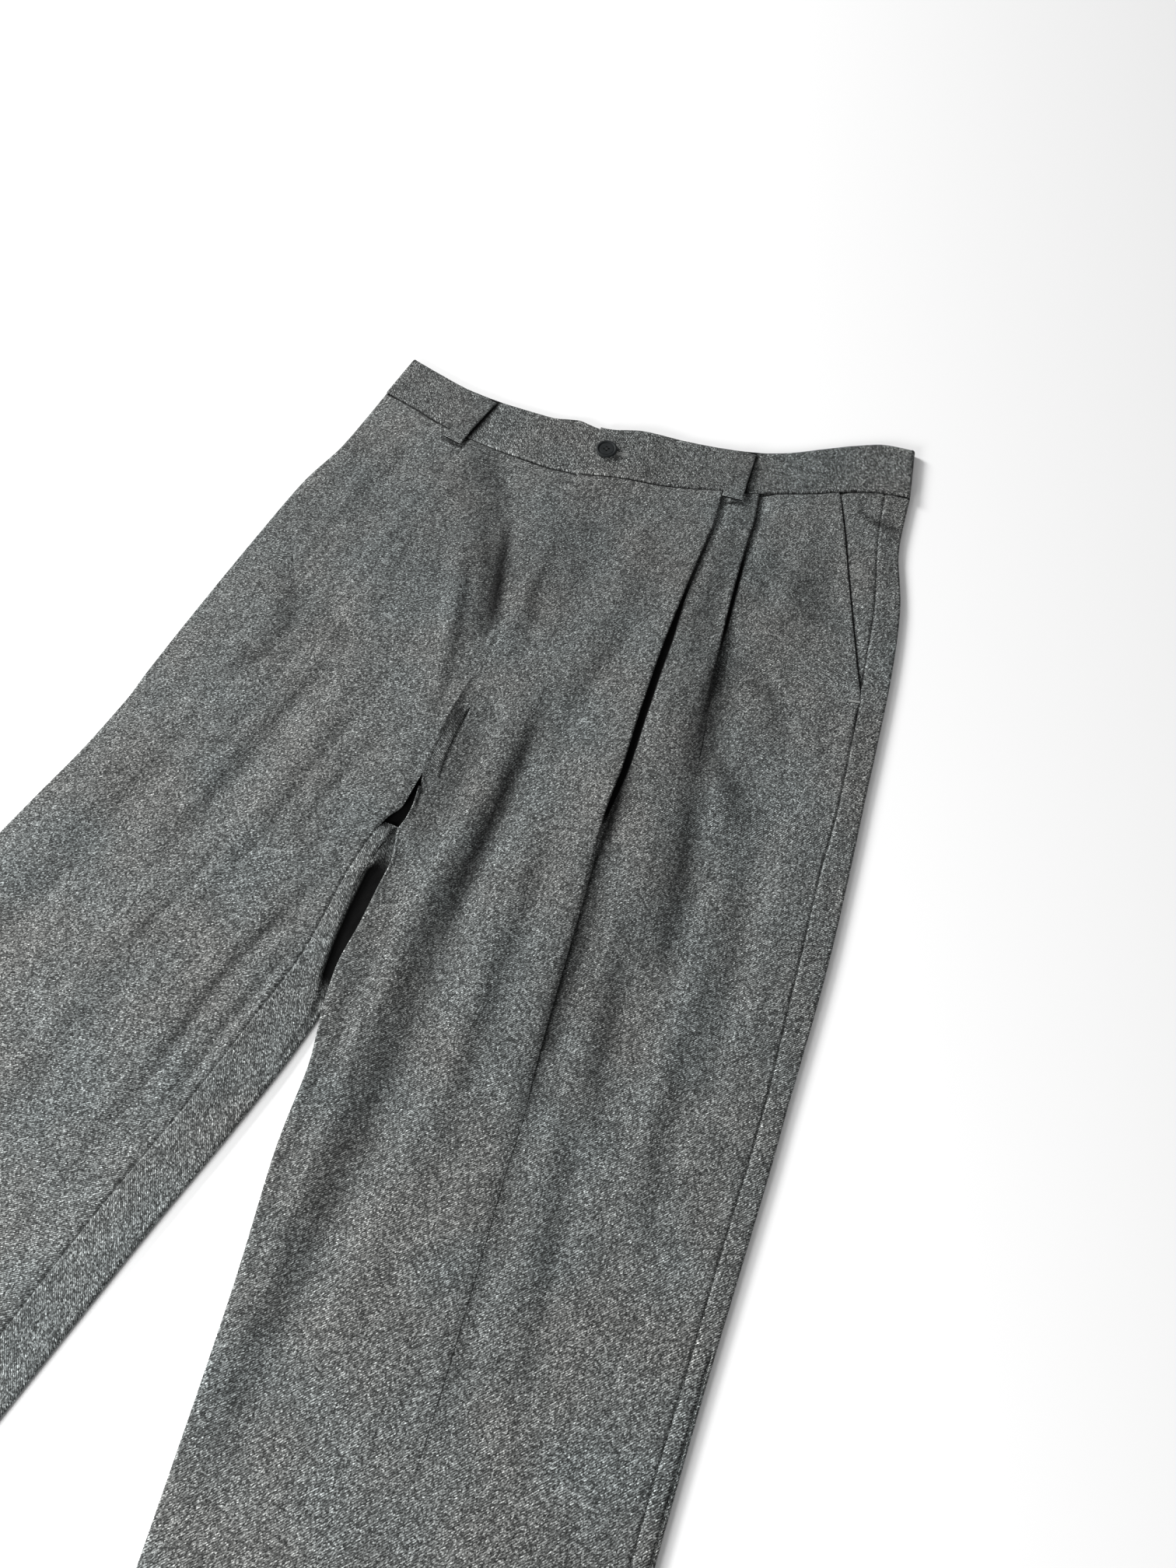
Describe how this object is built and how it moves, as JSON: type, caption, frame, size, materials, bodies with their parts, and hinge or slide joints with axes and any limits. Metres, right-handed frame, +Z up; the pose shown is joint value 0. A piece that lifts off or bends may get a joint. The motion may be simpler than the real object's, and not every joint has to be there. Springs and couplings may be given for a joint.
{
  "type": "pleated dress trousers",
  "caption": "Pleated trousers in charcoal wool twill, laid flat on their back, with slanted pockets, belt loops and a buttoned waistband.",
  "frame": {"origin": "on the surface that the trousers lie on, below the middle of their outline", "axes": "+X towards the wearer's left, +Y from the hems towards the waist, +Z up through the layers of cloth"},
  "size_m": [0.6368, 1.1301, 0.0115],
  "materials": {
    "wool_twill": "charcoal melange wool twill with pale flecks",
    "wool_twill_loops": "the same twill, turned into narrow strips",
    "button": "satin, almost black"
  },
  "bodies": {
    "root": {"front_left": "wool_twill", "front_right": "wool_twill", "back_left": "wool_twill", "back_right": "wool_twill", "pocket_facing_left": "wool_twill", "pocket_facing_right": "wool_twill", "waistband_left": "wool_twill", "waistband_right": "wool_twill", "belt_loop_front_left": "wool_twill_loops", "belt_loop_front_right": "wool_twill_loops", "belt_loop_back_left": "wool_twill_loops", "belt_loop_back_centre": "wool_twill_loops", "belt_loop_back_right": "wool_twill_loops", "button": "button"}
  },
  "joints": []
}
